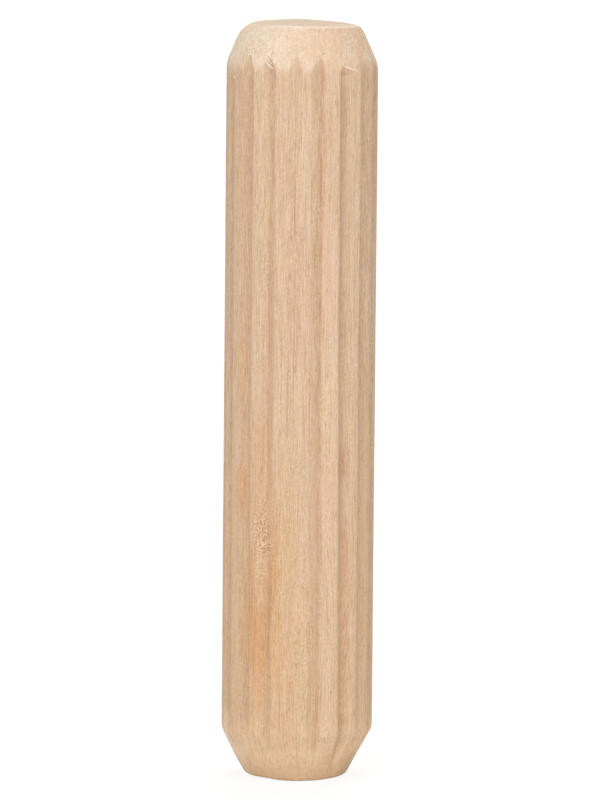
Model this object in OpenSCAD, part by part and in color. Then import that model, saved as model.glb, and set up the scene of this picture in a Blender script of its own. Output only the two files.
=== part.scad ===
// Fluted wooden dowel pin, standing on its lower end.
// The origin is the middle of the lower end face, and +Z runs along the pin.

/* [Pin] */
// Diameter over the ridges
pin_d = 8; // [6:0.5:16]
// Length from end to end
pin_l = 40; // [25:1:100]

/* [Flutes] */
// Number of flutes around the pin
flute_count = 18; // [10:1:20]
// Width of a flute at its mouth, before the ridges are eased
flute_w = 0.78; // [0.4:0.02:0.9]
// Depth of a flute below the ridges
flute_depth = 0.22; // [0.15:0.01:0.45]
// Radius at the root of a flute
flute_root_r = 0.1; // [0.04:0.01:0.12]
// Radius that eases the edges of a ridge
ridge_edge_r = 0.22; // [0.05:0.01:0.25]
// Turn of the first flute from the +X side, in degrees
flute_turn = 5.3; // [0:0.1:36]

/* [Upper end] */
// Diameter of the upper end face, before its rim is eased
upper_end_d = 6.2; // [4.5:0.1:7]
// Length of the upper chamfer along the pin
upper_chamfer_l = 2.1; // [1:0.1:4]
// Radius where the upper chamfer meets the ridges
upper_shoulder_r = 1; // [0.2:0.1:2]

/* [Lower end] */
// Diameter of the lower end face, before its rim is eased
lower_end_d = 5.3; // [4.5:0.1:7]
// Length of the lower chamfer along the pin
lower_chamfer_l = 2.65; // [1:0.05:4]
// Radius where the lower chamfer meets the ridges
lower_shoulder_r = 1.5; // [0.2:0.1:2]

/* [Both ends] */
// Radius that eases the rim of each end face
end_rim_r = 0.3; // [0.1:0.05:0.5]

/* [Hidden] */
pin_r = pin_d / 2;
// Straight steps in each rounded corner
corner_steps = 5;
// How far the flute cutters reach past the wood
cutter_reach = 1;

function unit(v) = v / norm(v);

function polar(centre, radius, angle) = centre + radius * [cos(angle), sin(angle)];

function bearing(v) = atan2(v[1], v[0]);

// The same turn, brought between -180 and 180 degrees
function short_turn(angle) = angle - 360 * round(angle / 360);

// Points along the arc of radius r that eases corner b of the path a, b, c
function eased_corner(a, b, c, r) =
    let (to_a = unit(a - b))
    let (to_c = unit(c - b))
    let (half_angle = acos(to_a * to_c) / 2)
    let (centre = b + unit(to_a + to_c) * r / sin(half_angle))
    let (start = bearing(b + to_a * r / tan(half_angle) - centre))
    let (end = bearing(b + to_c * r / tan(half_angle) - centre))
    [for (i = [0 : corner_steps]) polar(centre, r, start + short_turn(end - start) * i / corner_steps)];

// Half of the turned blank's lengthwise section, from the axis out to the ridges
function blank_section() =
    let (lower_face = [lower_end_d / 2, 0])
    let (lower_shoulder = [pin_r, lower_chamfer_l])
    let (upper_shoulder = [pin_r, pin_l - upper_chamfer_l])
    let (upper_face = [upper_end_d / 2, pin_l])
    concat(
        [[0, 0]],
        eased_corner([0, 0], lower_face, lower_shoulder, end_rim_r),
        eased_corner(lower_face, lower_shoulder, upper_shoulder, lower_shoulder_r),
        eased_corner(lower_shoulder, upper_shoulder, upper_face, upper_shoulder_r),
        eased_corner(upper_shoulder, upper_face, [0, pin_l], end_rim_r),
        [[0, pin_l]]
    );

// Cross section of one flute cutter, on the +X side: a V with a round root,
// whose mouth opens out along the ridges so that their edges are eased
function flute_section() =
    let (mouth_angle = asin(flute_w / 2 / pin_r))
    let (mouth = polar([0, 0], pin_r, mouth_angle))
    let (beside = polar(mouth, 2 * ridge_edge_r, mouth_angle + 90))
    let (above = beside + [cutter_reach, 0])
    let (root = [pin_r - flute_depth - root_rise(mouth), 0])
    let (half = concat([above, beside], eased_corner(beside, mouth, root, ridge_edge_r)))
    concat(
        half,
        eased_corner(mouth, root, mirrored(mouth), flute_root_r),
        [for (i = [len(half) - 1 : -1 : 0]) mirrored(half[i])]
    );

function mirrored(point) = [point[0], -point[1]];

// How much deeper the sharp V is than its round root
function root_rise(mouth) =
    let (half_angle = atan2(mouth[1], mouth[0] - pin_r + flute_depth))
    flute_root_r / sin(half_angle) - flute_root_r;

module turned_blank() {
    rotate_extrude($fn = 96)
        polygon(blank_section());
}

module flute_cutter() {
    translate([0, 0, -cutter_reach])
        linear_extrude(height = pin_l + 2 * cutter_reach)
            polygon(flute_section());
}

module dowel_pin() {
    color("burlywood")
        difference() {
            turned_blank();
            for (i = [0 : flute_count - 1])
                rotate([0, 0, flute_turn + i * 360 / flute_count])
                    flute_cutter();
        }
}

dowel_pin();
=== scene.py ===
import math
from types import SimpleNamespace

import bpy
import numpy as np
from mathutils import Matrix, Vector, noise


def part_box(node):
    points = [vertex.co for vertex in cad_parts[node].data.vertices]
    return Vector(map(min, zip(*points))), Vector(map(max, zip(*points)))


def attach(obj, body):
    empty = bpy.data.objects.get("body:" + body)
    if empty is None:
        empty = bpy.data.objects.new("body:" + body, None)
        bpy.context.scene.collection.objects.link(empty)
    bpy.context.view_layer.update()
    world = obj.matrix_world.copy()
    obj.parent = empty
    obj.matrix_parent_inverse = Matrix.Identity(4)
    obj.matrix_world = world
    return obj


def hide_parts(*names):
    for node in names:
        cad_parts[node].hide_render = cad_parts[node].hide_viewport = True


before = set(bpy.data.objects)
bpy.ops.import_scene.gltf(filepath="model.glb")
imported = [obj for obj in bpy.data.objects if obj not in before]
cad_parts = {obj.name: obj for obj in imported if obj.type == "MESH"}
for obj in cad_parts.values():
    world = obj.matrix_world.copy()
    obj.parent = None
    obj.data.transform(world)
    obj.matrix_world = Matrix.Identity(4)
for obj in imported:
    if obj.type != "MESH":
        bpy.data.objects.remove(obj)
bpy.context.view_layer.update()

MM = 0.001
PIN_NODE = "dowel_pin"

# ---- sizes, in metres: the length and the radius over the ridges come from the frame ----
FOOT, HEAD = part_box(PIN_NODE)
PIN_L = HEAD.z - FOOT.z
PIN_R = max(math.hypot(v.co.x, v.co.y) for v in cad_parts[PIN_NODE].data.vertices)

LOWER_END_R = 2.65 * MM
LOWER_CHAMFER_L = 2.65 * MM
UPPER_END_R = 3.1 * MM
UPPER_CHAMFER_L = 2.1 * MM
RIM_EASE = 0.16 * MM
LOWER_SHOULDER_EASE = 0.18 * MM
UPPER_SHOULDER_EASE = 0.3 * MM
EASE_STEPS = 5

# ---- the flutes: pressed, not cut, so each went in a little differently ----
FLUTES = 18
FLUTE_TURN = math.radians(5.3)
FLUTE_DEPTH = 0.21 * MM
FLUTE_HALF_MOUTH = 0.38 * MM
FLUTE_ROOT_EASE = 0.04 * MM
RIDGE_EASE = 0.05 * MM
# heights above the foot's end between which a flute runs out, and below the head's where it stops
LOWER_RUN_OUT = (0.5 * MM, 2.2 * MM)
UPPER_STOP = (-1.65 * MM, -1.0 * MM)
FLUTE_WANDER = 0.02 * MM
DEPTH_WANDER = 0.07
LOST_TO_CHAMFER = 0.6
# the paler line along each side of a flute: its way out from the mouth, and its width
LIP_OUT = 0.07 * MM
LIP_WIDTH = 0.08 * MM
# how much deeper the painted shade in a flute is just below the head
DARKER_AT_HEAD = 2.5
# for each flute: how hard it was pressed, how much painted shade it carries, how many degrees it strayed,
# how many more it drifted on its way to the foot, how far its root leans to one side, how many millimetres
# short of the head it stops, how many millimetres early it runs out at the foot, and how many millimetres
# it bends to the left at its very top
PRESSED = [1, 0.95, 1.05, 1, 0.9, 1, 1.1, 1, 0.95, 1, 1, 0.95, 0.84, 0.62, 0.88, 0.95, 1.0, 1.1]
FLUTE_SHADES = [0.7, 0.5, 0.8, 0.6, 0.45, 0.7, 0.8, 0.55, 0.6, 0.7, 0.9, 0.45, 0.25, 0.2, 0.40, 0.62, 0.55, 0.8]
STRAYED = [0, 1, -0.5, 0.6, 0, -1, 0.5, 0, 1, -0.4, -3.0, 1.5, 0.2, 0, 0.2, -1.8, -0.6, -1.4]
DRIFTED = [0.3, -0.4, 0.5, 0, -0.6, 0.3, 0.2, -0.3, 0.6, 0, 0.2, 0.2, -0.3, 0.2, 0.0, 3.4, 0.0, 0]
LEANED = [0.2, -0.3, 0, 0.4, -0.2, 0.1, 0, -0.4, 0.3, 0, 0.1, 0.5, 0.28, 0, 0.52, -0.45, -0.4, -0.2]
STOPS = [0, 0.2, 0.1, 0.3, 0, 0.1, 0.2, 0, 0.3, 0.1, 0.2, 0.2, 0.05, 0, 0.1, 0.75, 0.1, 0.2]
FADES = [0, 0.4, 0.1, 0.6, 0.2, 0, 0.3, 0.1, 0.5, 0.2, 0.3, 1.0, 0.8, 0.9, 0.8, -0.2, 0.1, 0.1]
BENT = [0, 0.04, 0, 0.06, 0, -0.05, 0, 0.05, 0, 0, 0.05, 0.26, 0.16, 0, 0, 0, 0.05, 0]

# ---- wear, in millimetres and shares of them ----
# the head: its rim is knocked in and down, it was sawn askew, and its chamfer is fuller on the left
KNOCKED_LEFT, KNOCKED_RIGHT, KNOCK_SPREAD, KNOCKED_DOWN = 0.15, 0.065, 0.38, 0.85
SAWN_LOW, SAWN_ASKEW, SAWN_AT_FRONT = 0.012, 0.12, 0.35
HEAD_FULLER, HEAD_SLIMMER = 0.025, 0.012
# the foot: its shoulder comes down, its end is crowned and dented, and its chamfer is fuller on the left
SHOULDER_LOWER_LEFT, SHOULDER_LOWER_RIGHT = 0.20, 0.06
FOOT_CROWN, FOOT_CROWN_MOST = 0.075, 1.2
FOOT_DENT, FOOT_DENT_AT, FOOT_DENT_WIDTH = 0.045, -1.7, 0.6
FOOT_FULLER, FOOT_FULLER_AT_END, FOOT_SLIMMER = 0.04, 0.05, 0.03
FOOT_BULGE, FOOT_BULGE_AT, FOOT_BULGE_HEIGHT = 0.05, 0.85, 0.45
# roughness: the size of its grains across and along, and how far it swings the surface; on the cuts and
# the torn grain, also how far it sets the surface in
FIBRE_GRAINS, FIBRE_ROUGHNESS = (0.16, 1.6), 0.005
WAVE_GRAINS, WAVE_ROUGHNESS, WAVE_SETS_IN = (1.1, 6), 0.007, 0.9
CUT_GRAINS, HEAD_CUT_ROUGHNESS, FOOT_CUT_ROUGHNESS = (0.2, 0.26), (0.012, 0.008), (0.008, 0.006)
TORN_GRAINS, TORN_GRAIN_ROUGHNESS = (0.13, 0.2), (0.035, 0.02)
# the torn grain low on the left: its bearing and height, and its half sizes
TORN_GRAIN_AT = (-27.8, 12.4)
TORN_GRAIN_SIZE = (0.5, 0.5, 1.3)

# the yearly rings: how far apart they are in millimetres, where the first falls, and where the middle
# of the tree was
RING_WIDTH = 1.864
RING_START = 0.767
PITH = (-24.0, 19.0)

COLUMNS_PER_FLUTE = 20
BODY_RINGS = 172
CHAMFER_RINGS = 24
FACE_RINGS = 7
# how close a point must be to count as at a corner or at an end, and two points to count as one
NEAR_A_CORNER = 0.01 * MM
NEAR_AN_END = 0.001 * MM
ONE_POINT = 0.002 * MM
SMOOTH_BELOW = math.radians(40)


# ---- bench tools ----
def start_clean():
    """Back to object mode with nothing selected, so an operator acts on its own piece only."""
    if bpy.context.object and bpy.context.object.mode != "OBJECT":
        bpy.ops.object.mode_set(mode="OBJECT")
    bpy.ops.object.select_all(action="DESELECT")


def take_up(piece):
    """Selects this piece alone."""
    start_clean()
    piece.select_set(True)
    bpy.context.view_layer.objects.active = piece


def choose_anew(kind):
    """Nothing selected in this kind of selecting, and object mode to choose in."""
    bpy.ops.object.mode_set(mode="EDIT")
    bpy.ops.mesh.select_mode(type=kind)
    bpy.ops.mesh.select_all(action="DESELECT")
    bpy.ops.object.mode_set(mode="OBJECT")


def pick_edges(piece, wanted):
    """Selects the edges whose two ends both satisfy wanted(co), and leaves edit mode on."""
    choose_anew("EDGE")
    mesh = piece.data
    for edge in mesh.edges:
        edge.select = all(wanted(mesh.vertices[i].co) for i in edge.vertices)
    bpy.ops.object.mode_set(mode="EDIT")


def pick_points(piece, wanted):
    """Selects the points that satisfy wanted(co), and leaves edit mode on."""
    choose_anew("VERT")
    for point in piece.data.vertices:
        point.select = wanted(point.co)
    bpy.ops.object.mode_set(mode="EDIT")


def read_points(piece):
    """The piece's points, as rows of x, y and z."""
    points = np.zeros(len(piece.data.vertices) * 3)
    piece.data.vertices.foreach_get("co", points)
    return points.reshape(-1, 3)


def write_points(piece, points):
    piece.data.vertices.foreach_set("co", points.ravel())
    piece.data.update()


def push_out(points, radius, distance):
    """Moves each point straight out from the axis."""
    points[:, :2] *= (1 + distance / radius)[:, None]


def keep_value(piece, name, values):
    """Stores one number a point on the mesh, for the wood's finish to read."""
    attribute = piece.data.attributes.new(name, "FLOAT", "POINT")
    attribute.data.foreach_set("value", values.astype(np.float32))


def eased_min(a, b, ease):
    """The smaller of a and b, with the corner between them rounded over about ease."""
    overlap = np.maximum(ease - np.abs(a - b), 0) / ease
    return np.minimum(a, b) - overlap * overlap * ease / 4


def rise(x, low, high):
    """0 below low, 1 above high, and an eased slope between."""
    x = np.clip((x - low) / (high - low), 0, 1)
    return x * x * (3 - 2 * x)


def towards_head(height, starts, full):
    """0 up to starts and 1 from full on, in millimetres below the head's end."""
    return rise(height, HEAD.z - starts * MM, HEAD.z - full * MM)


def towards_foot(height, starts, full):
    """0 down to starts and 1 from full on, in millimetres above the foot's end."""
    return rise(-height, -FOOT.z - starts * MM, -FOOT.z - full * MM)


def rough(points, across, along, seed):
    """A seeded roughness from -1 to 1 at each point, with grains across x along millimetres."""
    shift = Vector((17.3 * seed, 5.1 * seed, 9.7 * seed))
    scaled = points / np.array([across * MM, across * MM, along * MM])
    return np.array([noise.noise(Vector(p) + shift) for p in scaled])


def on_pin(bearing, height):
    """A place on the ridges: degrees round from the front, and millimetres up from the foot."""
    turn = math.radians(bearing)
    return Vector((PIN_R * math.sin(turn), -PIN_R * math.cos(turn), FOOT.z + height * MM))


# ---- the pin ----
def drawn_half_section():
    """The turned blank's half-section, drawn corner by corner from the foot to the head."""
    start_clean()
    bpy.ops.mesh.primitive_plane_add(size=MM, location=(0, 0, 0))
    pin = bpy.context.object
    pin.name = "fluted_pin"
    corners = [(LOWER_END_R, FOOT.z), (PIN_R, FOOT.z + LOWER_CHAMFER_L),
               (PIN_R, HEAD.z - UPPER_CHAMFER_L), (UPPER_END_R, HEAD.z), (0, HEAD.z)]
    bpy.ops.object.mode_set(mode="EDIT")
    bpy.ops.mesh.merge(type="CENTER")
    here = (0, FOOT.z)
    for corner in corners:
        step = (corner[0] - here[0], 0, corner[1] - here[1])
        bpy.ops.mesh.extrude_vertices_move(TRANSFORM_OT_translate={"value": step})
        here = corner
    eases = [RIM_EASE, LOWER_SHOULDER_EASE, UPPER_SHOULDER_EASE, RIM_EASE]
    for corner, ease in zip(corners, eases):
        spot = Vector((corner[0], 0, corner[1]))
        pick_points(pin, lambda co: (co - spot).length < NEAR_A_CORNER)
        bpy.ops.mesh.bevel(offset=ease, segments=EASE_STEPS, affect="VERTICES")
    return pin


def ring_the_section(pin):
    """Adds the points along each straight stretch that become the mesh's rings."""
    near = NEAR_AN_END
    foot_shoulder = FOOT.z + LOWER_CHAMFER_L
    head_shoulder = HEAD.z - UPPER_CHAMFER_L
    stretches = [
        (lambda co: co.z < FOOT.z + near, FACE_RINGS),
        (lambda co: co.z > HEAD.z - near, FACE_RINGS),
        (lambda co: FOOT.z + near < co.z < foot_shoulder and co.x < PIN_R - near, CHAMFER_RINGS),
        (lambda co: head_shoulder < co.z < HEAD.z - near and co.x < PIN_R - near, CHAMFER_RINGS),
        (lambda co: co.x > PIN_R - near, BODY_RINGS),
    ]
    for wanted, rings in stretches:
        pick_edges(pin, wanted)
        bpy.ops.object.mode_set(mode="OBJECT")
        mesh = pin.data
        lengths = {e.index: (mesh.vertices[e.vertices[0]].co - mesh.vertices[e.vertices[1]].co).length
                   for e in mesh.edges if e.select}
        longest = max(lengths, key=lengths.get)
        for edge in mesh.edges:
            edge.select = edge.index == longest
        bpy.ops.object.mode_set(mode="EDIT")
        bpy.ops.mesh.subdivide(number_cuts=rings)


def turned_blank():
    """The half-section turned about the pin's axis, with a column of points at every flute's root."""
    pin = drawn_half_section()
    ring_the_section(pin)
    bpy.ops.mesh.select_mode(type="VERT")
    bpy.ops.mesh.select_all(action="SELECT")
    bpy.ops.mesh.spin(steps=FLUTES * COLUMNS_PER_FLUTE, angle=math.tau, center=(0, 0, 0), axis=(0, 0, 1))
    bpy.ops.mesh.select_all(action="SELECT")
    bpy.ops.mesh.remove_doubles(threshold=ONE_POINT)
    bpy.ops.mesh.normals_make_consistent(inside=False)
    bpy.ops.object.mode_set(mode="OBJECT")
    pin.rotation_euler.z = FLUTE_TURN
    bpy.ops.object.transform_apply(location=True, rotation=True, scale=True)
    return pin


def press_flutes(pin):
    """Presses the flutes into the blank, and keeps what the tools did at each point."""
    points = read_points(pin)
    radius = np.maximum(np.hypot(points[:, 0], points[:, 1]), 1e-9)
    height = points[:, 2]
    angle = np.arctan2(points[:, 1], points[:, 0]) - FLUTE_TURN
    pitch = math.tau / FLUTES
    nearest = np.round(angle / pitch)
    which = nearest.astype(int) % FLUTES
    off_the_ends = (height > FOOT.z + 0.4 * MM) & (height < HEAD.z - 0.3 * MM)
    on_side = (radius > 0.72 * PIN_R) | off_the_ends

    def own(values):
        return np.array(values)[which]

    # where each point lies from the nearest root, and how deep the flute is there
    down = np.clip((HEAD.z - height) / PIN_L, 0, 1)
    strayed = np.radians(own(STRAYED) + own(DRIFTED) * down ** 2)
    off_root = (angle - pitch * nearest - strayed) * PIN_R + FLUTE_WANDER * rough(points, 2.2, 7, 1)
    off_root += own(BENT) * MM * towards_head(height, 2.4, 1.5)
    depth = FLUTE_DEPTH * own(PRESSED) * (1 + DEPTH_WANDER * rough(points, 1.4, 4, 2))
    stop = own(STOPS) * MM
    lost = LOST_TO_CHAMFER * own(PRESSED) * (PIN_R - radius)
    lost += FLUTE_DEPTH * rise(height - HEAD.z + stop, *UPPER_STOP)
    at_head = np.maximum(depth - lost, 0)
    fade = own(FADES) * MM
    at_foot = depth * rise(height - FOOT.z - fade, *LOWER_RUN_OUT)
    left = np.where(height > FOOT.z + PIN_L / 2, at_head, at_foot) * on_side

    # the flute's own section: a V with an eased root and eased ridges
    reach = np.sqrt(off_root ** 2 + FLUTE_ROOT_EASE ** 2) - FLUTE_ROOT_EASE
    half_mouth = FLUTE_HALF_MOUTH * (1 - own(LEANED) * np.sign(off_root))
    flute = radius - left + reach * depth / half_mouth
    pressed = np.where(left > 0, eased_min(radius, flute, RIDGE_EASE), radius)
    push_out(points, radius, pressed - radius)
    write_points(pin, points)

    # painted shade in the flute, darkest where it is deepest: most below the head, then less and less down
    # to the foot
    sunk = (radius - pressed) / FLUTE_DEPTH
    below_head = towards_head(height, 3.0, 2.2)
    painted_shade = np.clip(sunk * (1 + DARKER_AT_HEAD * below_head), 0, 1) * own(FLUTE_SHADES)
    painted_shade *= 1 - 0.35 * down
    painted_shade *= 1 - 0.55 * towards_head(height, 3.0, 1.9)
    painted_shade *= rise(height, FOOT.z + 0.4 * MM, FOOT.z + 3.0 * MM)
    # the painted shade in the flutes is kept on the mesh under the name pressed
    keep_value(pin, "pressed", painted_shade)
    lip = np.exp(-((np.abs(off_root) - half_mouth - LIP_OUT) / LIP_WIDTH) ** 2)
    keep_value(pin, "lip", lip * (1 - rise(sunk, 0.05, 0.3)) * on_side)

    # where the chamfering tool cut, which is everywhere at the ends but down in the flutes
    bare = rise(sunk, 0.04, 0.24) * (1 - 0.55 * towards_head(height, 2.6, 1.7))
    past_head = towards_head(height, 2.9, 1.65) * (1 - bare)
    past_foot = towards_foot(height, 3.0, 0.7) * (1 - rise(sunk, 0.3, 0.9))
    keep_value(pin, "turned", np.maximum(past_head, past_foot))
    on_an_end = (height > HEAD.z - 0.02 * MM) | (height < FOOT.z + 0.02 * MM)
    keep_value(pin, "end_cut", on_an_end & (radius < 0.95 * PIN_R))
    # painted highlight along the rounded rim of the head, faint on the left
    from_rim = (radius - UPPER_END_R + 0.1 * MM) ** 2 + (height - HEAD.z + 0.02 * MM) ** 2
    rim_highlight_share = 0.12 + 0.85 * rise(points[:, 0] / radius, -0.75, -0.2)
    keep_value(pin, "rim", np.exp(-from_rim / (0.072 * MM) ** 2) * rim_highlight_share)


def skew_the_ends(pin):
    """The head was sawn a little askew and its left rim knocked round; the foot's chamfer is uneven."""
    points = read_points(pin)
    x, y, z = points[:, 0], points[:, 1], points[:, 2]
    radius = np.maximum(np.hypot(x, y), 1e-9)

    # the head: its rim, its end and its chamfer
    to_left = rise(-x / radius + 0.1 * y / radius, 0.0, 1.0)
    near_rim = np.exp(-((radius - UPPER_END_R) ** 2 + (z - HEAD.z) ** 2) / (KNOCK_SPREAD * MM) ** 2)
    knocked = MM * near_rim * (KNOCKED_LEFT * to_left + KNOCKED_RIGHT * rise(x / radius, 0.5, 1.0))
    push_out(points, radius, -knocked)
    points[:, 2] -= knocked * KNOCKED_DOWN
    to_back = np.clip(0.5 + y / (2 * UPPER_END_R), 0, 1)
    askew = SAWN_ASKEW * rise(x, -1.2 * MM, 2.4 * MM)
    drop = askew * (SAWN_AT_FRONT + (1 - SAWN_AT_FRONT) * to_back)
    points[:, 2] -= (SAWN_LOW * MM + drop * MM) * towards_head(z, 3.4, 1.9)
    mid_chamfer = towards_head(z, 2.2, 1.2) * rise(-z, -HEAD.z + 0.2 * MM, -HEAD.z + 1.2 * MM)
    swell = HEAD_FULLER * rise(-x / radius, 0.2, 1.0) - HEAD_SLIMMER * rise(x / radius, 0.4, 1.0)
    push_out(points, radius, MM * mid_chamfer * swell)

    # the foot: its shoulder, its end and its chamfer
    low_shoulder = rise(z, FOOT.z + 0.3 * MM, FOOT.z + 2.4 * MM) * towards_foot(z, 6, 3)
    lower = SHOULDER_LOWER_LEFT * rise(-x / PIN_R, 0.0, 1.0)
    lower += SHOULDER_LOWER_RIGHT * rise(x / PIN_R, 0.3, 1.0)
    points[:, 2] -= MM * low_shoulder * lower
    near_end = towards_foot(z, 0.9, 0)
    crown = np.minimum((x / LOWER_END_R) ** 2, FOOT_CROWN_MOST)
    points[:, 2] += FOOT_CROWN * MM * near_end * crown
    dent = np.exp(-((x - FOOT_DENT_AT * MM) / (FOOT_DENT_WIDTH * MM)) ** 2)
    points[:, 2] += FOOT_DENT * MM * near_end * dent
    up_the_cut = towards_foot(z, 2.6, 1.2)
    bulge = np.exp(-((z - FOOT.z - FOOT_BULGE_AT * MM) / (FOOT_BULGE_HEIGHT * MM)) ** 2)
    fuller = FOOT_FULLER * up_the_cut + FOOT_BULGE * bulge + FOOT_FULLER_AT_END * near_end
    fuller *= rise(-x / radius, 0.3, 1.0)
    fuller -= FOOT_SLIMMER * up_the_cut * (1 - near_end) * rise(x / radius, 0.4, 1.0)
    push_out(points, radius, MM * fuller * (radius > 0.5 * LOWER_END_R))
    write_points(pin, points)


def roughen(pin):
    """Lengthwise waviness in the ridges, rough cut chamfers, and the torn grain low on the left."""
    points = read_points(pin)
    radius = np.maximum(np.hypot(points[:, 0], points[:, 1]), 1e-9)
    z = points[:, 2]
    coarse = rough(points, *CUT_GRAINS, 3)
    push = FIBRE_ROUGHNESS * rough(points, *FIBRE_GRAINS, 4)
    push += WAVE_ROUGHNESS * (rough(points, *WAVE_GRAINS, 5) - WAVE_SETS_IN)
    swing, sets_in = HEAD_CUT_ROUGHNESS
    push += towards_head(z, 3, 2.3) * (swing * coarse - sets_in)
    swing, sets_in = FOOT_CUT_ROUGHNESS
    push += towards_foot(z, 2.6, 1.8) * (swing * coarse - sets_in)
    off = (points - np.array(on_pin(*TORN_GRAIN_AT))) / (np.array(TORN_GRAIN_SIZE) * MM)
    near_torn = np.exp(-(off ** 2).sum(axis=1))
    swing, sets_in = TORN_GRAIN_ROUGHNESS
    push += near_torn * (swing * rough(points, *TORN_GRAINS, 6) - sets_in)
    side = (z > FOOT.z + 0.03 * MM) & (radius > 0.5 * PIN_R)
    push_out(points, radius, np.where(side, push, 0) * MM)
    write_points(pin, points)


# a torn fibre's five places: their share of its width, and how far they stand off the surface
FIBRE_TAPER = (0.35, 0.9, 1.0, 0.8, 0.3)
LYING = (0.0, 0.02, 0.03, 0.02, 0.0)
CURLED_UP = (0.0, 0.04, 0.075, 0.055, 0.01)
# the fibres that the chamfering tool tore up at the head: five places on each in millimetres across
# and up, how far each place stands off, how thick the fibre is, and how pale it is drawn, pale torn wood
# with a painted highlight
TORN_UP = [
    ([(-1.9, 38.14), (-1.8, 38.05), (-1.71, 37.96), (-1.62, 37.88), (-1.5, 37.78)], CURLED_UP, 0.085, 0.9),
    ([(-1.88, 38.58), (-1.8, 38.58), (-1.7, 38.51), (-1.62, 38.41), (-1.58, 38.27)], CURLED_UP, 0.115, 0.65),
    ([(-1.74, 38.22), (-1.69, 38.14), (-1.65, 38.08), (-1.6, 38.04), (-1.55, 38.03)], LYING, 0.065, 0.9),
    ([(-1.46, 38.36), (-1.44, 38.29), (-1.43, 38.22), (-1.44, 38.16), (-1.46, 38.08)], LYING, 0.07, 0.7),
    ([(-1.34, 38.14), (-1.28, 38.12), (-1.24, 38.05), (-1.26, 37.98), (-1.32, 37.94)], LYING, 0.05, 0.6),
    ([(2.18, 37.94), (2.36, 37.84), (2.56, 37.79), (2.76, 37.71), (2.92, 37.66)], LYING, 0.115, 0.6),
    ([(-3.53, 37.28), (-3.52, 37.25), (-3.51, 37.22), (-3.5, 37.18), (-3.5, 37.15)], LYING, 0.085, 0.9),
    ([(-2.86, 38.6), (-2.8, 38.66), (-2.73, 38.64), (-2.7, 38.57), (-2.74, 38.52)], LYING, 0.06, 0.7),
    ([(-2.66, 38.56), (-2.6, 38.62), (-2.53, 38.6), (-2.5, 38.54), (-2.54, 38.49)], LYING, 0.055, 0.6),
    ([(-2.82, 38.49), (-2.75, 38.46), (-2.68, 38.48), (-2.62, 38.46), (-2.55, 38.43)], LYING, 0.055, 0.7),
    ([(-2.3, 38.7), (-2.27, 38.64), (-2.26, 38.58), (-2.27, 38.52), (-2.29, 38.46)], LYING, 0.05, 0.5),
    ([(-2.11, 38.72), (-2.08, 38.65), (-2.07, 38.58), (-2.08, 38.51), (-2.11, 38.45)], LYING, 0.05, 0.5),
    ([(-3.16, 38.62), (-3.13, 38.57), (-3.12, 38.52), (-3.13, 38.47), (-3.15, 38.42)], LYING, 0.05, 0.5),
]


def raise_fibre(pin, places, lift, width, pale):
    """A torn fibre standing off the surface: a thin tapered curl through five places on the pin."""
    start_clean()
    bpy.ops.curve.primitive_nurbs_path_add(location=(0, 0, 0))
    fibre = bpy.context.object
    fibre.data.bevel_depth = width * MM / 2
    fibre.data.bevel_resolution = 2
    fibre.data.use_fill_caps = True
    fibre.data.resolution_u = 5
    spline = fibre.data.splines[0]
    for point, (across, up), raised, taper in zip(spline.points, places, lift, FIBRE_TAPER):
        start = Vector((across * MM, -2 * PIN_R, FOOT.z + up * MM))
        _, spot, normal, _ = pin.ray_cast(start, Vector((0, 1, 0)))
        spot = spot + normal * raised * MM
        point.co = (spot.x, spot.y, spot.z, 1)
        point.radius = taper
    bpy.ops.object.convert(target="MESH")
    fibre = bpy.context.object
    # each fibre takes the rim's painted highlight as far as it is pale
    for name, value in (("pressed", 0), ("lip", 1), ("turned", 1), ("end_cut", 0), ("rim", pale)):
        keep_value(fibre, name, np.full(len(fibre.data.vertices), value))
    return fibre


def torn_fibres(pin):
    """Raises each torn fibre and joins them all to the pin."""
    made = [raise_fibre(pin, *torn) for torn in TORN_UP]
    take_up(pin)
    for piece in made:
        piece.select_set(True)
    bpy.ops.object.join()


def make_pin():
    """Turns the blank, presses its flutes, wears it and smooths its shading."""
    pin = turned_blank()
    press_flutes(pin)
    skew_the_ends(pin)
    roughen(pin)
    torn_fibres(pin)
    take_up(pin)
    bpy.ops.object.shade_smooth_by_angle(angle=SMOOTH_BELOW)
    return pin


# ---- finishes: what the wood is drawn from ----
# how far the fibres sway, the short ones curl and the torn ones tangle, in millimetres
SWAY = (0.9, 0.5, 0.0)
CURL = (0.30, 0.30, 0.0)
TANGLE = (0.26, 0.26, 0.2)
SCRAPE = (0.5, 0.5, 0.5)
# how slowly the rings change along the pin, and how much a chamfer's fibres are stretched to the back
RINGS_ALONG = 0.02
DEEP_SCALE = (1, 0.22, 1)
# the lean of the fibres low on the right
SLANT_AXIS = (0.67, -0.74, 0.0)
SLANT = math.radians(14)
# how far the relief stands, how strongly it shows, each part's share in it, and the wood's sheen
RELIEF_DEPTH = 0.02 * MM
RELIEF_STRENGTH = 0.6
RELIEF = {"mid": 0.7, "short": 0.6, "long": 0.6, "chamfer": 1.6, "tear": 2.2, "pores": 0.4}
SHEEN = 0.25

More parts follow.
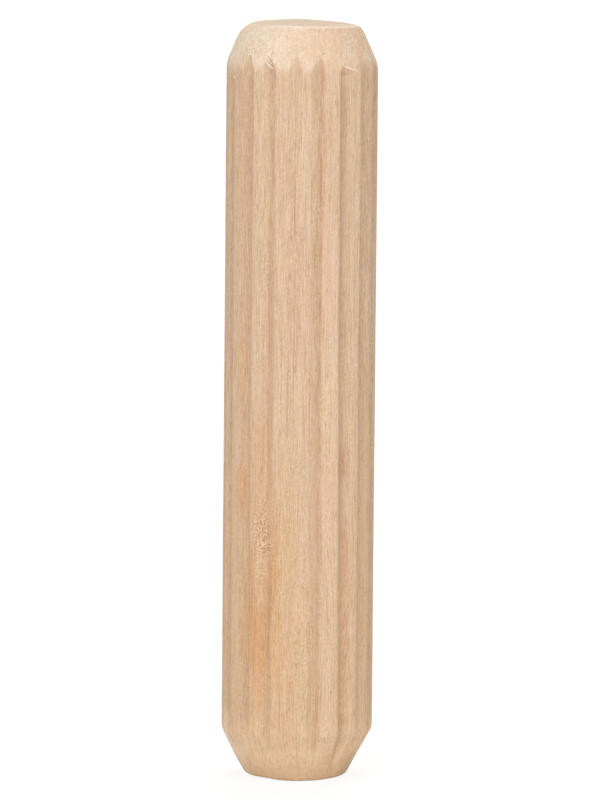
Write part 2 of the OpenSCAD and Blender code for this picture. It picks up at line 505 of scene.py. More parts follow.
# the noises: grain size across and along in millimetres, and seed; then detail and roughness where
# they aren't 1 and 0.5
GRAINS = {
    "wander": (2.5, 9, 1),
    "curl": (0.6, 1.3, 16),
    "band": (0.75, 16, 2, 2),
    "straw": (0.5, 12, 3),
    "mottle": (0.5, 1.3, 12),
    "tint": (0.24, 0.7, 17),
    "broken": (0.16, 0.9, 18, 2),
    "long fibre": (0.046, 2.6, 4),
    "mid fibre": (0.048, 0.45, 19),
    "short fibre": (0.04, 0.14, 5),
    "uneven": (0.6, 1.4, 13),
    "thread": (0.05, 5, 14, 0),
    "slanting": (0.06, 0.55, 21),
    "tangle": (0.22, 0.3, 23),
    "tear": (0.052, 0.14, 24),
    "ripple": (0.26, 0.07, 25),
    "speck": (0.08, 0.14, 8, 2, 0.6),
    "smear": (0.6, 0.9, 15),
    "broad": (0.45, 0.9, 31),
    "deep fibre": (0.05, 1.6, 33),
    "rougher": (0.7, 0.5, 26),
    "scrape": (0.35, 0.35, 27),
    "shaving": (0.22, 0.045, 28),
    "run": (0.2, 4, 32),
    "now and then": (0.8, 1.6, 22, 2),
}
USUAL_DETAIL = [1.0, 0.5]
# spindle-shaped flecks: the size of their cells across and along in millimetres, how much of its cell
# a fleck fills, and seed
FLECKS = {
    "pores": (0.17, 0.8, 0.3, 6),
    "rays": (0.42, 1.9, 0.17, 7),
    "dots": (0.11, 0.4, 0.42, 9),
}
# eased slopes: the values between which they rise, and from what to what if not from 0 to 1
SLOPES = {
    "late wood": (0.62, 0.96),
    "late wood ends": (0.96, 1, 1, 0),
    "broken": (0.36, 0.62, 0.6, 1),
    "up the pin": (8, 30),
    "longer above": (0, 1, 0.7, 1),
    "uneven": (0.38, 0.66, 0.5, 1),
    "crushed": (0.52, 0.68),
    "rougher": (0.46, 0.64),
    "on the left": (1.6, -0.4, 0.25, 1),
    "at the head": (15, 30),
    "turned": (0, 1),
    "cut shows": (0, 1, 0.66, 1),
    "now and then": (0.38, 0.6, 0.15, 1),
    "dull": (0.3, 0.7, 0.62, 0.8),
}
BODY_COLOUR = (224, 193, 162)
HEAD_CUT_COLOUR = (244, 223, 197)
# the foot's cut is drawn paler as painted light, where its chamfer faces down and away from the lamps
FOOT_CUT_LIT_COLOUR = (253, 224, 186)
END_COLOUR = (250, 229, 204)
# colours washed over more and more as a value rises: its low and high, the least and the most of the
# colour, and the colour
WASHES = {
    "pink bands": (0.36, 0.64, 0, 1, (219, 181, 152)),
    "straw bands": (0.52, 0.7, 0, 0.6, (219, 194, 154)),
    "warm towards the foot": (23, 7, 0, 0.3, (219, 178, 130)),
    "pale above the foot's cut": (3.9, 2.1, 0, 0.42, (250, 218, 178)),
    "threads": (0.68, 0.78, 0, 0.35, (176, 138, 102)),
    "head cut smeared": (0.35, 0.65, 0, 1, (238, 210, 182)),
    "head cut on the right": (-1.4, 1.3, 0, 0.8, (233, 194, 158)),
    "head cut on the left": (-1.4, -3, 0, 0.55, (244, 228, 206)),
    "foot cut smeared": (0.35, 0.65, 0, 1, (246, 212, 172)),
    # painted shade, darker towards the foot's end where the chamfer faces the floor
    "foot cut shaded at its end": (1.7, 0, 0, 0.75, (210, 174, 138)),
    "end speckled": (0.35, 0.7, 0, 1, (239, 214, 187)),
}
# colours laid where a mask shows: how much of it, and the colour
COATS = {
    "late wood": (0.24, (203, 160, 124)),
    "pores": (0.25, (168, 118, 84)),
    "rays": (0.26, (172, 116, 84)),
    # painted shade in the flutes, darkest at their roots
    "pressed": (0.62, (186, 154, 122)),
    # crushed fibres, as strong as the painted shade in the flutes they lie in
    "crushed": (0.35, (160, 120, 88)),
    "lip": (0.08, (240, 216, 188)),
    "late wood on the end": (0.16, (196, 158, 126)),
    "dots": (0.3, (165, 122, 90)),
    # painted highlight along the head's rim and on the torn fibres
    "rim": (0.95, (255, 247, 230)),
}
# fibres in two colours: how far from its middle a noise is at full strength, the dark and the pale
# colour, and how strong each is
STREAKS = {
    "mottle": (0.17, (232, 188, 160), (220, 192, 152), 0.27, 0.26),
    "tint": (0.18, (226, 188, 134), (226, 190, 170), 0.42, 0.38),
    "long fibre": (0.22, (194, 153, 117), (243, 217, 188), 0.52, 0.5),
    "mid fibre": (0.22, (192, 146, 104), (243, 214, 178), 0.24, 0.22),
    "short fibre": (0.22, (190, 146, 110), (246, 221, 194), 0.42, 0.42),
    "slanting": (0.2, (190, 140, 98), (246, 214, 172), 0.36, 0.36),
    "torn": (0.14, (184, 126, 92), (250, 224, 194), 0.44, 0.56),
    "reddened": (0.14, (158, 94, 64), (232, 184, 152), 0.38, 0.3),
    "rippled": (0.14, (164, 108, 78), (248, 222, 192), 0.5, 0.5),
    "faintly rippled": (0.15, (186, 142, 104), (240, 214, 178), 0.22, 0.26),
    "head, broad": (0.16, (238, 204, 180), (240, 226, 200), 0.5, 0.5),
    "head, tint": (0.18, (232, 200, 164), (242, 208, 186), 0.4, 0.35),
    "head, deep fibre": (0.2, (216, 180, 146), (253, 234, 210), 0.44, 0.36),
    "head, short fibre": (0.22, (208, 170, 136), (255, 238, 216), 0.28, 0.28),
    "head, speck": (0.22, (204, 162, 126), (255, 240, 218), 0.2, 0.22),
    "head, shaving": (0.16, (216, 178, 144), (255, 243, 224), 0.2, 0.26),
    "head, curled": (0.14, (206, 160, 120), (255, 247, 230), 1, 1),
    "foot, run": (0.18, (228, 182, 134), (248, 226, 196), 0.55, 0.4),
    "foot, deep fibre": (0.22, (206, 160, 118), (253, 224, 187), 0.55, 0.45),
    "foot, mid fibre": (0.22, (206, 158, 114), (254, 225, 188), 0.28, 0.26),
    "foot, short fibre": (0.22, (204, 156, 112), (255, 226, 190), 0.4, 0.38),
}
# soft-edged places: bearing in degrees, height, half width and half length in millimetres, softness
PLACES = {
    "slanting": (42, 5, 0.9, 5, 0.5),
    "torn": (-30.2, 13.6, 0.64, 1.4, 0.65),
    "reddened": (-28.2, 13.3, 0.36, 1, 0.7),
    "small tear": (34.3, 17, 0.26, 0.32, 0.6),
    "rippled": (-27, 12.6, 0.48, 0.42, 0.5),
    "faintly rippled": (-31, 11.4, 0.55, 0.8, 0.5),
}
SMALL_TEAR_SHARE = 0.8

# stains along the fibres, and the other patches below: bearing in degrees, then height, half width and
# half length in millimetres, softness, strength and colour
STAINS = [
    (5.3, 32.4, 0.16, 4.2, 0.6, 0.4, (217, 200, 168)),
    (-9, 7.8, 0.85, 6.2, 0.7, 0.36, (226, 182, 132)),
    (8, 14, 0.55, 4, 0.6, 0.4, (228, 194, 166)),
    (-14, 10.6, 0.3, 5.5, 0.6, 0.45, (222, 174, 118)),
    (-11.5, 9.1, 0.22, 6, 0.5, 0.45, (218, 172, 120)),
    (-12, 33.4, 0.6, 3, 0.7, 0.3, (222, 184, 158)),
    (-49, 33.7, 0.4, 3.5, 0.6, 0.4, (214, 170, 136)),
    (-49, 21.3, 0.36, 4.5, 0.6, 0.4, (212, 170, 126)),
    (-50, 15.7, 0.38, 1.35, 0.5, 0.7, (221, 158, 108)),
    (-51, 22.8, 0.36, 1.5, 0.5, 0.4, (224, 170, 126)),
    (14.2, 19.9, 0.12, 1.7, 0.5, 0.45, (204, 150, 124)),
    (-31, 9.1, 1.1, 5.2, 0.5, 0.66, (213, 158, 102)),
    (-30, 16.2, 0.75, 3.2, 0.6, 0.6, (218, 166, 122)),
    (-18.4, 14.1, 0.14, 2.2, 0.5, 0.7, (204, 154, 108)),
    (-18.4, 11, 0.21, 1.5, 0.5, 0.9, (208, 149, 88)),
    (-21.2, 9.5, 0.24, 0.9, 0.5, 0.7, (206, 149, 92)),
    (-38.8, 10.6, 0.2, 1.3, 0.5, 0.7, (204, 148, 94)),
    (-35, 9, 0.34, 0.9, 0.4, 0.62, (213, 146, 88)),
    (-31.6, 7.6, 0.5, 1.6, 0.4, 0.72, (218, 153, 92)),
    (-32.6, 5.9, 0.4, 1, 0.5, 0.45, (222, 162, 104)),
    (-29.7, 5, 0.22, 1, 0.5, 0.4, (226, 168, 110)),
    (-23.5, 8.1, 0.28, 1.6, 0.5, 0.45, (198, 150, 106)),
    (-29.5, 11.5, 0.42, 0.75, 0.5, 0.55, (222, 188, 148)),
    (36, 16.9, 0.26, 0.95, 0.5, 0.6, (190, 132, 94)),
    (37.6, 6.5, 0.34, 4.5, 0.6, 0.5, (216, 158, 110)),
    (39, 12.2, 0.2, 1.8, 0.5, 0.45, (216, 160, 112)),
    (62, 11.3, 0.5, 6, 0.6, 0.5, (228, 188, 142)),
    # the next two rows dim the wood near the right side and the left side
    (64, 30.2, 0.42, 8, 0.6, 0.3, (210, 180, 148)),
    (-73, 26.1, 0.4, 9, 0.6, 0.35, (204, 176, 142)),
    (112, 24, 0.55, 6, 0.6, 0.4, (214, 168, 124)),
    (141, 11, 0.45, 5, 0.6, 0.4, (212, 190, 154)),
    (168, 27, 0.6, 5, 0.7, 0.4, (220, 174, 136)),
    (-170, 9, 0.5, 4, 0.6, 0.5, (210, 158, 110)),
    (-141, 19, 0.4, 7, 0.6, 0.4, (226, 196, 160)),
    (-108, 10, 0.5, 5, 0.6, 0.5, (216, 164, 112)),
    (-4.8, 22.1, 0.06, 0.24, 0.5, 0.7, (150, 110, 80)),
]
# the paler and the duller ridges, which run dead straight, with painted light on two ridges at the front
# right and painted shade down the two sides, and pale places near the foot's shoulder
RIDGES_AND_PAINTED_LIGHT = [
    # painted light: the two ridges at the front right drawn paler where the lamps fall off them
    (24.5, 20, 0.44, 24, 0.4, 0.42, (243, 210, 178)),
    (47.2, 20, 0.3, 26, 0.4, 0.58, (240, 208, 173)),
    (-11, 24, 0.3, 18, 0.6, 0.38, (210, 174, 140)),
    (1.5, 30, 0.26, 9, 0.6, 0.25, (214, 180, 150)),
    (-56.5, 20, 0.22, 26, 0.5, 0.2, (232, 200, 166)),
    (-31, 26, 0.2, 14, 0.6, 0.28, (212, 176, 142)),
    # painted shade: the next two rows grey the wood down the two sides
    (82, 22, 0.6, 20, 0.5, 0.18, (172, 154, 136)),
    (-85.5, 22, 0.52, 20, 0.5, 0.32, (170, 156, 141)),
    (-71, 2.4, 0.6, 1, 0.6, 0.5, (244, 230, 212)),
    (-41, 2.6, 0.26, 0.7, 0.6, 0.4, (250, 216, 172)),
    (-96, 22, 0.4, 22, 0.5, 0.3, (238, 208, 176)),
    (144, 18, 0.4, 22, 0.5, 0.3, (238, 208, 176)),
]
# painted shade: the thin dark lines where a flute's two sides meet
SHADED_CREASES = [
    (15.6, 28.8, 0.06, 9.6, 0.6, 0.5, (180, 126, 94)),
    (15.4, 9, 0.055, 9, 0.6, 0.34, (184, 134, 100)),
    (14.8, 2.7, 0.07, 0.8, 0.6, 0.34, (188, 138, 102)),
    (35.5, 2.7, 0.11, 0.9, 0.6, 0.2, (190, 138, 98)),
    (-4.7, 28, 0.05, 9.5, 0.6, 0.45, (180, 130, 98)),
    (-20, 30, 0.06, 8, 0.6, 0.16, (180, 130, 98)),
    (-25, 26, 0.055, 12, 0.6, 0.35, (180, 130, 98)),
    (31.5, 29, 0.06, 9, 0.6, 0.22, (180, 130, 98)),
    (135, 22, 0.06, 12, 0.6, 0.5, (180, 130, 98)),
    (-124.6, 20, 0.06, 14, 0.6, 0.5, (180, 130, 98)),
    (175.4, 16, 0.06, 12, 0.6, 0.5, (180, 130, 98)),
]
# painted shadow in the pockets under the fibres torn up at the head, and under the ledge on its right
SHADOWED_POCKETS = [
    (-25.8, 38.28, 0.05, 0.17, 0.6, 0.55, (176, 130, 94)),
    (-27, 38.14, 0.045, 0.09, 0.6, 0.4, (164, 116, 80)),
    (-23.9, 38.02, 0.045, 0.07, 0.6, 0.55, (140, 100, 74)),
    (-21.2, 37.86, 0.11, 0.26, 0.6, 0.18, (190, 152, 120)),
    (-29.3, 38.05, 0.04, 0.22, 0.6, 0.5, (196, 150, 112)),
    (-25.6, 37.66, 0.05, 0.1, 0.6, 0.35, (190, 136, 96)),
    (-46.5, 38.3, 0.07, 0.12, 0.6, 0.55, (184, 150, 106)),
    (-42, 38.6, 0.03, 0.08, 0.6, 0.5, (178, 140, 104)),
    (-45.2, 38.58, 0.03, 0.06, 0.6, 0.5, (178, 140, 104)),
    (34, 37.52, 0.24, 0.08, 0.6, 0.36, (164, 120, 86)),
]
# paler and darker places near the head, and then on the chamfer at the foot
HEAD_PATCHES = [
    (36.5, 37.2, 0.42, 0.3, 0.6, 0.42, (232, 200, 170)),
    # the next three rows are painted shade at the tops of the flutes
    (-46.2, 38.05, 0.1, 0.34, 0.6, 0.38, (206, 160, 116)),
    (-4.2, 38.1, 0.1, 0.36, 0.6, 0.34, (212, 168, 132)),
    (14.9, 37.95, 0.1, 0.4, 0.6, 0.38, (206, 164, 130)),
    (-54.5, 36.9, 0.28, 1.1, 0.6, 0.34, (204, 164, 130)),
    (-52, 38.25, 0.25, 0.3, 0.6, 0.36, (220, 182, 148)),
    (-67, 37.9, 0.35, 0.5, 0.6, 0.36, (246, 232, 212)),
    (9.5, 38.95, 0.4, 0.62, 0.6, 0.36, (230, 192, 156)),
    (32, 38.6, 0.3, 0.45, 0.6, 0.3, (230, 190, 152)),
]
FOOT_PATCHES = [
    (-66, 1.6, 0.7, 1.7, 0.6, 0.5, (246, 233, 214)),
    (-50, 1.9, 0.6, 0.5, 0.6, 0.45, (252, 232, 200)),
    (-41, 2.5, 0.3, 0.8, 0.6, 0.55, (255, 222, 172)),
    (-15, 1.9, 0.3, 0.6, 0.6, 0.35, (254, 226, 184)),
    (14, 1.5, 0.4, 0.5, 0.6, 0.35, (252, 226, 190)),
    (51, 1.6, 0.26, 0.8, 0.6, 0.5, (230, 168, 112)),
    (32, 1.2, 0.85, 0.35, 0.6, 0.36, (222, 168, 124)),
    (43, 1.5, 0.25, 0.5, 0.6, 0.45, (255, 232, 204)),
    (68, 0.8, 0.8, 1.2, 0.6, 0.45, (178, 148, 120)),
    (-118, 1.4, 0.7, 0.6, 0.6, 0.4, (252, 232, 204)),
    (150, 1.9, 0.4, 0.8, 0.6, 0.4, (232, 180, 130)),
]
# places on the chamfer at the head where the fibres curled up under the tool: bearing, height, half
# width, half length and strength, and their softness
CURLED_PATCHES = [
    (-43, 38.58, 0.34, 0.14, 0.8),
    (-50, 38.85, 0.8, 0.38, 0.42),
    (-31, 39.35, 0.3, 0.3, 0.34),
    (-1, 39.25, 0.16, 0.3, 0.36),
    (14, 38.55, 0.42, 0.4, 0.44),
    (46, 39.2, 0.55, 0.45, 0.46),
    (-25, 38.6, 0.25, 0.16, 0.5),
    (120, 38.8, 0.6, 0.35, 0.45),
    (-150, 38.7, 0.5, 0.3, 0.45),
]
CURLED_SOFTNESS = 0.6


# ---- finishes: the nodes ----
def new_material(name):
    material = bpy.data.materials.new(name)
    material.use_nodes = True
    return material, material.node_tree, material.node_tree.nodes["Principled BSDF"]


def node(kind, sockets=None, tree=None, **settings):
    """One shader node, in the tree of what feeds it, or in the given tree if nothing does."""
    sockets = sockets or {}
    fed = {name: value for name, value in sockets.items() if isinstance(value, bpy.types.NodeSocket)}
    for value in fed.values():
        tree = value.id_data
    made = tree.nodes.new("ShaderNode" + kind)
    for name, value in settings.items():
        setattr(made, name, value)
    for name, value in sockets.items():
        if name in fed:
            tree.links.new(value, made.inputs[name])
        else:
            made.inputs[name].default_value = value
    return made


def paint(red, green, blue):
    """A colour as it is given, 0 to 255, as the shader wants it."""
    def linear(c):
        c = c / 255
        return c / 12.92 if c <= 0.04045 else ((c + 0.055) / 1.055) ** 2.4
    return (linear(red), linear(green), linear(blue), 1)


def kept(at, name):
    """What the tools kept on the mesh under this name."""
    return node("Attribute", tree=at.tree, attribute_name=name).outputs["Fac"]


def reckon(operation, *values):
    """One step of sums."""
    return node("Math", dict(enumerate(values)), operation=operation).outputs[0]


def reckon_place(operation, *values):
    """The same for places and directions."""
    return node("VectorMath", dict(enumerate(values)), operation=operation).outputs[0]


def far_from_middle(place):
    return node("VectorMath", {0: place}, operation="LENGTH").outputs["Value"]


def share(amount, value):
    """That share of the value: amount is a number, or a mask from 0 to 1."""
    return reckon("MULTIPLY", value, amount)


def between(value, low, high, start=0.0, end=1.0):
    """Eased from start to end as value goes from low to high."""
    sockets = {"Value": value, "From Min": low, "From Max": high, "To Min": start, "To Max": end}
    return node("MapRange", sockets, interpolation_type="SMOOTHSTEP").outputs[0]


def slope(value, name):
    return between(value, *SLOPES[name])


def lay_over(amount, under, over):
    """The colour over laid on the colour under, by amount; each is a link or a colour from 0 to 255."""
    under, over = (paint(*colour) if isinstance(colour, tuple) else colour for colour in (under, over))
    return node("Mix", {0: amount, 6: under, 7: over}, data_type="RGBA").outputs[2]


def wash(under, value, name):
    """Washes a colour over the wood, more and more as value rises."""
    *rising, colour = WASHES[name]
    return lay_over(between(value, *rising), under, colour)


def coat(under, mask, name):
    """Lays a colour over the wood where the mask shows."""
    amount, colour = COATS[name]
    return lay_over(share(amount, mask), under, colour)


def streaks(under, noise_in, name, mask=None):
    """Lays the dark and the pale side of a noise over the wood, as two kinds of fibre."""
    reach, dark, pale, how_dark, how_pale = STREAKS[name]
    dark_side = between(noise_in, 0.5, 0.5 + reach, 0.0, how_dark)
    pale_side = between(noise_in, 0.5, 0.5 - reach, 0.0, how_pale)
    if mask is not None:
        dark_side = share(mask, dark_side)
        pale_side = share(mask, pale_side)
    return lay_over(pale_side, lay_over(dark_side, under, dark), pale)


def cells(place, across, along, shift):
    """The place shifted, and measured in cells across x along in size."""
    return node("Mapping", {
        "Vector": place, "Location": shift, "Scale": (1 / across, 1 / across, 1 / along)}).outputs[0]


def grain(place, name):
    """Noise drawn out along the pin, about 0.5 with a spread of 0.1."""
    across, along, seed, *finer = GRAINS[name]
    detail, roughness = finer + USUAL_DETAIL[len(finer):]
    inside = cells(place, across, along, (seed * 7.3, seed * 3.1, seed * 1.7))
    sockets = {"Vector": inside, "Scale": 1.0, "Detail": detail, "Roughness": roughness}
    return node("TexNoise", sockets).outputs[0]


def flecks(place, name):
    """Short spindle-shaped flecks, 1 in the middle of each."""
    across, along, size, seed = FLECKS[name]
    inside = cells(place, across, along, (seed * 5.9, seed * 2.3, seed * 4.1))
    spots = node("TexVoronoi", {"Vector": inside, "Scale": 1.0})
    return between(spots.outputs["Distance"], size * 0.4, size, 1.0, 0.0)


def unrolled(place):
    """The side of the pin laid flat: millimetres round from the front, and millimetres up."""
    parts = node("SeparateXYZ", {0: place})
    to_front = reckon("MULTIPLY", parts.outputs[1], -1.0)
    turn = reckon("ARCTAN2", parts.outputs[0], to_front)
    round_the_pin = reckon("MULTIPLY", turn, PIN_R / MM)
    return node("CombineXYZ", {0: round_the_pin, 1: parts.outputs[2]}).outputs[0]


def at_the_ridges(place):
    """The place carried straight out to the ridges, so that fibres run on down a chamfer uncut."""
    level = reckon_place("MULTIPLY", place, (1, 1, 0))
    outward = reckon_place("NORMALIZE", level)
    out = node("VectorMath", {0: outward, 3: PIN_R / MM}, operation="SCALE").outputs[0]
    up = reckon_place("MULTIPLY", place, (0, 0, 1))
    return reckon_place("ADD", out, up)


def patch(flat, bearing, height, across, along, soft):
    """A soft-edged patch on the side laid flat, 1 in its middle, at a bearing and a height."""
    # scaled and shifted in one step: with more for each patch, the shader runs out of room and turns black
    middle = math.radians(bearing) * PIN_R / MM
    sizes = reckon_place(
        "MULTIPLY_ADD", flat, (1 / across, 1 / along, 1), (-middle / across, -height / along, 0))
    return between(far_from_middle(sizes), 1 - soft, 1 + soft, 1.0, 0.0)


def swayed(place, by, across):
    """The place moved sideways by a noise, so that what is drawn there wanders."""
    each_way = node("CombineXYZ", {0: by, 1: by, 2: by}).outputs[0]
    centred = reckon_place("ADD", each_way, (-0.5, -0.5, -0.5))
    moved = reckon_place("MULTIPLY", centred, across)
    return reckon_place("ADD", place, moved)


def patched(under, where, rows, by=None):
    """Lays each row's patch over the wood in turn; by, a mask, breaks the patches up."""
    for bearing, up, across, along, soft, amount, colour in rows:
        there = patch(where, bearing, up, across, along, soft)
        if by is not None:
            there = share(by, there)
        under = lay_over(share(amount, there), under, colour)
    return under


# ---- finishes: the wood, in steps that share their places and noises in at ----
def set_places(at):
    """The places: plain, carried out to the ridges, wandering as the fibres do, curled, and flat."""
    coords = node("TexCoord", tree=at.tree).outputs["Object"]
    at.in_mm = reckon_place("MULTIPLY", coords, (1 / MM, 1 / MM, 1 / MM))
    at.on_ridges = at_the_ridges(at.in_mm)
    at.wander = grain(at.in_mm, "wander")
    at.place = swayed(at.on_ridges, at.wander, SWAY)
    at.curled = swayed(at.place, grain(at.in_mm, "curl"), CURL)
    at.flat = unrolled(at.curled)
    at.height = node("SeparateXYZ", {0: at.in_mm}).outputs[2]
    at.pressed = kept(at, "pressed")


def body_colours(at):
    """Broad bands of cream, pink and straw, warmer towards the foot."""
    wood = wash(BODY_COLOUR, grain(at.place, "band"), "pink bands")
    wood = wash(wood, grain(at.place, "straw"), "straw bands")
    wood = streaks(wood, grain(at.place, "mottle"), "mottle")
    at.tint = grain(at.curled, "tint")
    wood = streaks(wood, at.tint, "tint")
    wood = wash(wood, at.height, "warm towards the foot")
    return wash(wood, at.height, "pale above the foot's cut")


def yearly_rings(at, wood):
    """The yearly rings, and the redder late wood at each."""
    from_pith = node("Mapping", {
        "Vector": swayed(at.in_mm, at.wander, SWAY), "Location": (-PITH[0], -PITH[1], 0.0),
        "Scale": (1, 1, RINGS_ALONG)}).outputs[0]
    ring = far_from_middle(from_pith)
    ring = reckon("FRACT", reckon("MULTIPLY_ADD", ring, 1 / RING_WIDTH, RING_START))
    late = slope(ring, "late wood")
    at.late = share(slope(ring, "late wood ends"), late)
    return coat(wood, at.late, "late wood")


def stains_ridges_and_painted_light(at, wood):
    """Stains, each broken up along the fibres, and the paler and duller ridges, painted light and painted
    shade among them.
    """
    broken = slope(grain(at.curled, "broken"), "broken")
    wood = patched(wood, at.flat, STAINS, broken)
    at.straight = unrolled(at.in_mm)
    return patched(wood, at.straight, RIDGES_AND_PAINTED_LIGHT)


def fibres(at, wood):
    """Fibres, long and short, and the pores and ray flecks between them."""
    up = slope(at.height, "up the pin")
    at.long_fibre = grain(at.place, "long fibre")
    wood = streaks(wood, at.long_fibre, "long fibre", slope(up, "longer above"))
    at.mid_fibre = grain(at.curled, "mid fibre")
    wood = streaks(wood, at.mid_fibre, "mid fibre")
    at.short_fibre = grain(at.curled, "short fibre")
    uneven = slope(grain(at.place, "uneven"), "uneven")
    wood = streaks(wood, at.short_fibre, "short fibre", uneven)
    wood = wash(wood, grain(at.place, "thread"), "threads")
    at.pores = flecks(at.curled, "pores")
    wood = coat(wood, at.pores, "pores")
    wood = coat(wood, flecks(at.curled, "rays"), "rays")
    # low on the right the fibres run out of the side at a slant
    slant = node("VectorRotate", {"Vector": at.in_mm, "Axis": SLANT_AXIS, "Angle": SLANT}).outputs[0]
    slanting = grain(slant, "slanting")
    return streaks(wood, slanting, "slanting", patch(at.flat, *PLACES["slanting"]))


def tool_marks(at, wood):
    """Painted shade in the flutes, darker crushed fibres within it, and a paler line along each side."""
    wood = coat(wood, at.pressed, "pressed")
    crushed = share(slope(at.mid_fibre, "crushed"), at.pressed)
    wood = coat(wood, crushed, "crushed")
    return coat(wood, kept(at, "lip"), "lip")


def torn_grain(at, wood):
    """Curly pale and red-brown flecks, and below them ripples across the fibres."""
    tangled = swayed(at.in_mm, grain(at.in_mm, "tangle"), TANGLE)
    at.tear = grain(tangled, "tear")
    at.where_torn = patch(at.flat, *PLACES["torn"])
    wood = streaks(wood, at.tear, "torn", at.where_torn)
    reddened = patch(at.flat, *PLACES["reddened"])
    small_tear = share(SMALL_TEAR_SHARE, patch(at.flat, *PLACES["small tear"]))
    reddened = reckon("MAXIMUM", reddened, small_tear)
    wood = streaks(wood, at.tear, "reddened", reddened)
    ripple = grain(tangled, "ripple")
    for name in ("rippled", "faintly rippled"):
        wood = streaks(wood, ripple, name, patch(at.flat, *PLACES[name]))
    return wood


def head_cut(at):
    """The chamfer at the head, cut across the fibres: paler, and rougher."""
    at.speck = grain(at.in_mm, "speck")
    at.smear = grain(at.in_mm, "smear")
    cut = wash(HEAD_CUT_COLOUR, at.smear, "head cut smeared")
    across = node("SeparateXYZ", {0: at.in_mm}).outputs[0]
    cut = wash(cut, across, "head cut on the right")
    cut = wash(cut, across, "head cut on the left")
    cut = streaks(cut, grain(at.on_ridges, "broad"), "head, broad")
    cut = streaks(cut, at.tint, "head, tint")
    # it is cut across the fibres, but seen from the side they still run straight up it
    at.deep = node("Mapping", {"Vector": at.in_mm, "Scale": DEEP_SCALE}).outputs[0]
    at.deep_fibre = grain(at.deep, "deep fibre")
    cut = streaks(cut, at.deep_fibre, "head, deep fibre")
    cut = streaks(cut, at.short_fibre, "head, short fibre")
    rougher = slope(grain(at.in_mm, "rougher"), "rougher")
    cut = streaks(cut, at.speck, "head, speck", rougher)
    scraped = swayed(at.in_mm, grain(at.in_mm, "scrape"), SCRAPE)
    shaving = grain(scraped, "shaving")
    cut = streaks(cut, shaving, "head, shaving", slope(across, "on the left"))
    where_curled = 0
    for bearing, up, wide, tall, amount in CURLED_PATCHES:
        there = share(amount, patch(at.flat, bearing, up, wide, tall, CURLED_SOFTNESS))
        where_curled = reckon("MAXIMUM", there, where_curled)
    return streaks(cut, at.tear, "head, curled", where_curled)


def foot_cut(at):
    """The chamfer at the foot: more yellow, drawn paler as painted light, with its fibres plain to see, and
    darker at its end as painted shade.
    """
    cut = wash(FOOT_CUT_LIT_COLOUR, at.smear, "foot cut smeared")
    cut = streaks(cut, grain(at.deep, "run"), "foot, run")
    cut = streaks(cut, at.deep_fibre, "foot, deep fibre")
    cut = streaks(cut, at.mid_fibre, "foot, mid fibre")
    cut = streaks(cut, at.short_fibre, "foot, short fibre")
    cut = wash(cut, at.height, "foot cut shaded at its end")
    return patched(cut, at.flat, FOOT_PATCHES)


def lay_on_cuts(at, wood, cut, low_cut):
    """Lays the two cut chamfers on the wood, nibbled at their edges."""
    at_head = slope(at.height, "at the head")
    cut = lay_over(at_head, low_cut, cut)
    nibble = reckon("SUBTRACT", at.short_fibre, 0.5)
    at.turned = slope(reckon("ADD", kept(at, "turned"), nibble), "turned")
    shows = share(slope(at_head, "cut shows"), at.turned)
    return lay_over(shows, wood, cut)


def shaded_creases_and_pockets(at, wood):
    """Painted shade in the creases of the flutes, seen now and then, and painted shadow in the pockets at
    the head, with the patches there.
    """
    now_and_then = slope(grain(at.in_mm, "now and then"), "now and then")
    wood = patched(wood, at.straight, SHADED_CREASES, now_and_then)
    return patched(wood, at.straight, SHADOWED_POCKETS + HEAD_PATCHES)


def end_grain(at, wood):
    """The end grain, and the painted highlight along the rim of the head and on its torn fibres."""
    dots = flecks(at.in_mm, "dots")
    end = wash(END_COLOUR, at.speck, "end speckled")
    end = coat(end, at.late, "late wood on the end")
    end = coat(end, dots, "dots")
    wood = lay_over(kept(at, "end_cut"), wood, end)
    return coat(wood, kept(at, "rim"), "rim")


def relief(at):
    """Fibres stand up a little, the chamfers and the torn grain more, and the pores are sunk."""
    part = RELIEF
    raised = reckon("ADD", share(part["mid"], at.mid_fibre), share(part["short"], at.short_fibre))
    raised = reckon("ADD", raised, share(part["long"], at.long_fibre))
    torn = share(part["chamfer"], share(at.turned, at.speck))
    torn_grain_up = share(part["tear"], share(at.where_torn, at.tear))
    torn = reckon("ADD", torn, torn_grain_up)
    raised = reckon("ADD", raised, torn)
    return reckon("SUBTRACT", raised, share(part["pores"], at.pores))


def beech_wood():
    """The wood's finish: its colour, its dullness and its fine relief."""
    material, tree, shader = new_material("beech_wood")
    at = SimpleNamespace(tree=tree)
    set_places(at)
    wood = body_colours(at)
    for step in (yearly_rings, stains_ridges_and_painted_light, fibres, tool_marks, torn_grain):
        wood = step(at, wood)
    cut = head_cut(at)
    low_cut = foot_cut(at)
    wood = lay_on_cuts(at, wood, cut, low_cut)
    wood = shaded_creases_and_pockets(at, wood)
    wood = end_grain(at, wood)
    tree.links.new(wood, shader.inputs["Base Color"])
    tree.links.new(slope(at.short_fibre, "dull"), shader.inputs["Roughness"])
    shader.inputs["Specular IOR Level"].default_value = SHEEN
    bump = node("Bump", {"Height": relief(at), "Distance": RELIEF_DEPTH, "Strength": RELIEF_STRENGTH})
    tree.links.new(bump.outputs[0], shader.inputs["Normal"])
    return material


# ---- studio ----
FLOOR_SIZE = 6
FLOOR_WHITE = (0.88, 0.88, 0.88, 1)
FLOOR_ROUGHNESS = 0.9
# what the floor shines with, and how much of it the camera sees
FLOOR_GLOW = 1.08
GLOW_SEEN = 0.80

VIEW_DISTANCE = 425 * MM
VIEW_RISE = math.radians(6.9)
VIEW_ROLL = math.radians(0.5)
VIEW_HEIGHT = 42.29 * MM
AIM = Vector((0.03 * MM, 0, FOOT.z + PIN_L / 2 - 0.02 * MM))
SENSOR_WIDTH = 36
CLIP_START = 0.01
CLIP_END = 20

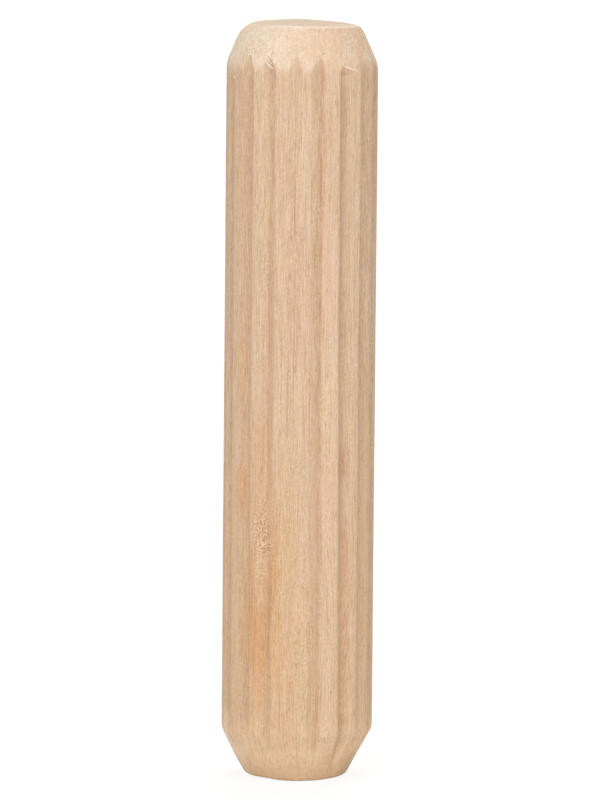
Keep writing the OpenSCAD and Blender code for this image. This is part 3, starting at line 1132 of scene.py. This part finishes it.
# the air's strength in front of the pin and behind it, and the directions between which it changes
AIR_IN_FRONT = 0.605
AIR_BEHIND = 0.17
AIR_CHANGES = (-0.5, 0.6)
# each lamp's place and width in metres, and its power in watts
LAMPS = {
    "front_left_lamp": ((-0.38, -0.53, 0.28), 0.5, 1.60),
    "front_right_lamp": ((0.42, -0.50, 0.10), 0.5, 1.24),
    "top_lamp": ((0.04, 0.26, 0.62), 0.5, 1.85),
    "back_lamp": ((0.0, 0.64, 0.018), 0.036, 0.85),
}


def floor_paint():
    """Matt white, lit a little from within where the camera sees it."""
    material, tree, shader = new_material("white_floor")
    shader.inputs["Base Color"].default_value = FLOOR_WHITE
    shader.inputs["Roughness"].default_value = FLOOR_ROUGHNESS
    output = tree.nodes["Material Output"]
    rays = node("LightPath", tree=tree)
    glow = node("Emission", {"Color": (1, 1, 1, 1), "Strength": FLOOR_GLOW}, tree)
    seen = reckon("MULTIPLY", rays.outputs["Is Camera Ray"], GLOW_SEEN)
    mix = node("MixShader", {0: seen, 1: shader.outputs[0], 2: glow.outputs[0]})
    tree.links.new(mix.outputs[0], output.inputs["Surface"])
    return material


def make_camera():
    """A long lens a little above the pin, turned slightly about its own axis."""
    bpy.ops.object.camera_add()
    camera = bpy.context.object
    camera.name = "studio_camera"
    back = Vector((0, -math.cos(VIEW_RISE), math.sin(VIEW_RISE)))
    camera.location = AIM + back * VIEW_DISTANCE
    camera.rotation_euler = (-back).to_track_quat("-Z", "Y").to_euler()
    camera.rotation_euler.rotate_axis("Z", VIEW_ROLL)
    camera.data.sensor_width = SENSOR_WIDTH
    camera.data.lens = SENSOR_WIDTH * VIEW_DISTANCE / VIEW_HEIGHT
    camera.data.clip_start = CLIP_START
    camera.data.clip_end = CLIP_END
    bpy.context.scene.camera = camera


def soft_lamp(name, place, size, power):
    """A round soft lamp that faces the pin."""
    bpy.ops.object.light_add(type="AREA", location=place)
    lamp = bpy.context.object
    lamp.name = name
    lamp.data.shape = "DISK"
    lamp.data.size = size
    lamp.data.energy = power
    lamp.rotation_euler = (AIM - Vector(place)).to_track_quat("-Z", "Y").to_euler()


def light_the_studio():
    """The lamps, and an air that is brighter in front of the pin, and plain white where it is seen."""
    scene = bpy.context.scene
    scene.view_settings.view_transform = "Standard"
    scene.world = bpy.data.worlds.new("studio_air")
    scene.world.use_nodes = True
    tree = scene.world.node_tree
    air = tree.nodes["Background"]
    air.inputs["Color"].default_value = (1, 1, 1, 1)
    toward = node("TexCoord", tree=tree).outputs["Generated"]
    front_to_back = node("SeparateXYZ", {0: toward}).outputs[1]
    level = between(front_to_back, *AIR_CHANGES, AIR_IN_FRONT, AIR_BEHIND)
    rays = node("LightPath", tree=tree)
    short_of_white = reckon("SUBTRACT", 1.0, level)
    level = reckon("MULTIPLY_ADD", rays.outputs["Is Camera Ray"], short_of_white, level)
    tree.links.new(level, air.inputs["Strength"])
    for name, (place, size, power) in LAMPS.items():
        soft_lamp(name, place, size, power)


def make_floor():
    bpy.ops.mesh.primitive_plane_add(size=FLOOR_SIZE, location=(0, 0, FOOT.z))
    floor = bpy.context.object
    floor.name = "studio_floor"
    bpy.ops.object.transform_apply(location=True)
    floor.data.materials.append(floor_paint())


start_clean()
make_camera()
light_the_studio()
start_clean()
make_floor()
pin = make_pin()
pin.data.materials.append(beech_wood())
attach(pin, "root")
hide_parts(PIN_NODE)
